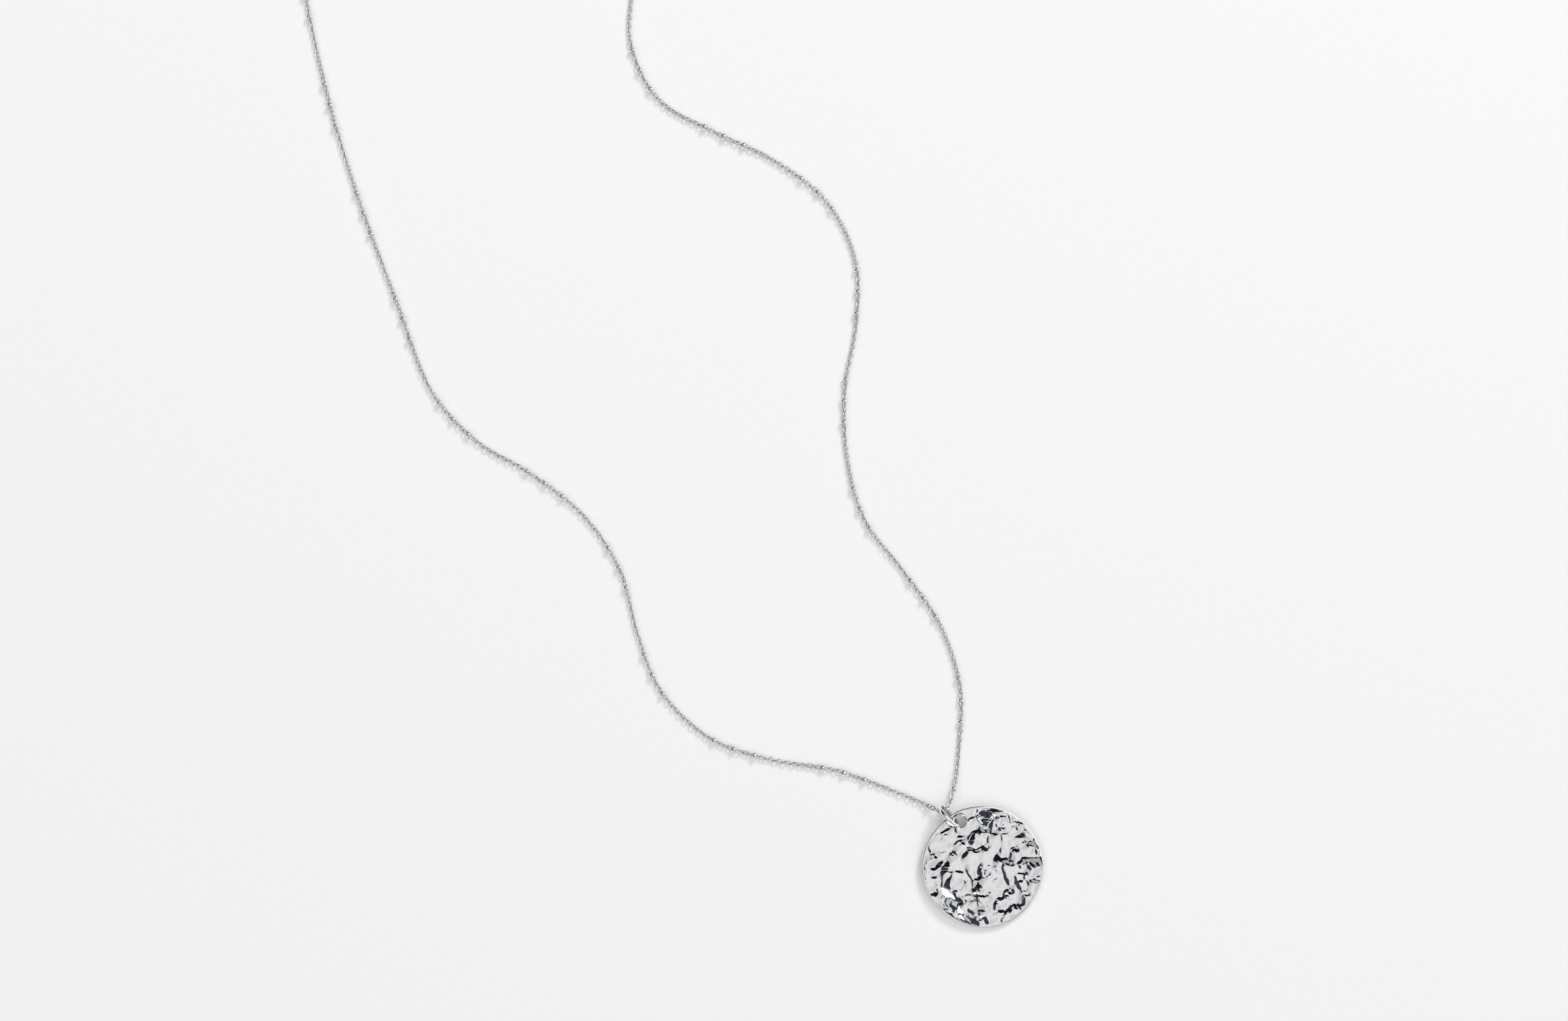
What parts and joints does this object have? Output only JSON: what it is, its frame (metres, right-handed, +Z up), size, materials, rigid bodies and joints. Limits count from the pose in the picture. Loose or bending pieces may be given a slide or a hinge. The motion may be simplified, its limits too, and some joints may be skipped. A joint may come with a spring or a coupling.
{
  "type": "hammered disc pendant necklace on a long beaded cable chain",
  "caption": "Round hammered metal disc hanging by a jump ring from a long fine cable chain with small beads in groups, laid flat as a closed loop.",
  "frame": {"origin": "middle of the laid-out loop's box, on the surface that it lies on", "axes": "+X to the right and +Y up the page as the necklace lies, with the disc at the lower right, +Z up from the surface"},
  "size_m": [0.1771, 0.351, 0.0068],
  "materials": {
    "hammered_silver": "mirror-polished silver with hammered dents",
    "ring_silver": "polished silver wire",
    "chain_silver": "polished silver wire, slightly dulled where links rub",
    "bead_silver": "bright polished silver",
    "clasp_silver": "polished silver"
  },
  "bodies": {
    "root": {"pendant_disc": "hammered_silver", "bail_ring": "ring_silver", "chain": "chain_silver", "chain_beads": "bead_silver", "clasp": "clasp_silver", "clasp_end_ring": "ring_silver", "clasp_jump_ring": "ring_silver"}
  },
  "joints": []
}
